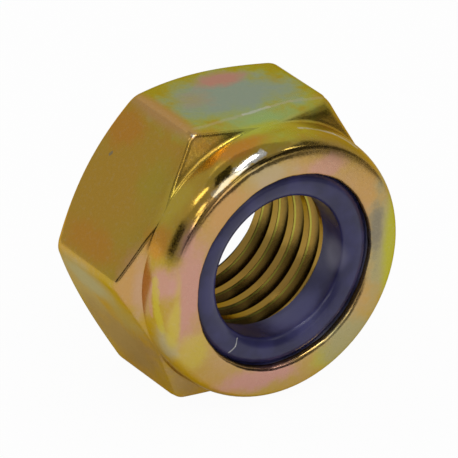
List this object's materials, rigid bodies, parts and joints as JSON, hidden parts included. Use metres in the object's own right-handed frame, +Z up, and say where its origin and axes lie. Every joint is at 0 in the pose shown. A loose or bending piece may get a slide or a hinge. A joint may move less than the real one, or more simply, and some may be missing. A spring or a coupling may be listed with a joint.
{
  "type": "lock nut",
  "caption": "Hexagon lock nut with a round collar whose rolled lip holds a nylon ring that grips the bolt.",
  "frame": {"origin": "on the thread axis, midway along the nut's length", "axes": "the thread axis lies along Y with the insert end towards -Y; +Z up from the flat that the nut stands on to the opposite flat"},
  "size_m": [0.0216, 0.0116, 0.019],
  "materials": {
    "yellow_zinc_steel": "zinc plated steel with an iridescent yellow passivation",
    "blue_nylon": "indigo blue nylon, satin"
  },
  "bodies": {
    "root": {"nut_body": "yellow_zinc_steel", "nylon_insert": "blue_nylon"}
  },
  "joints": []
}
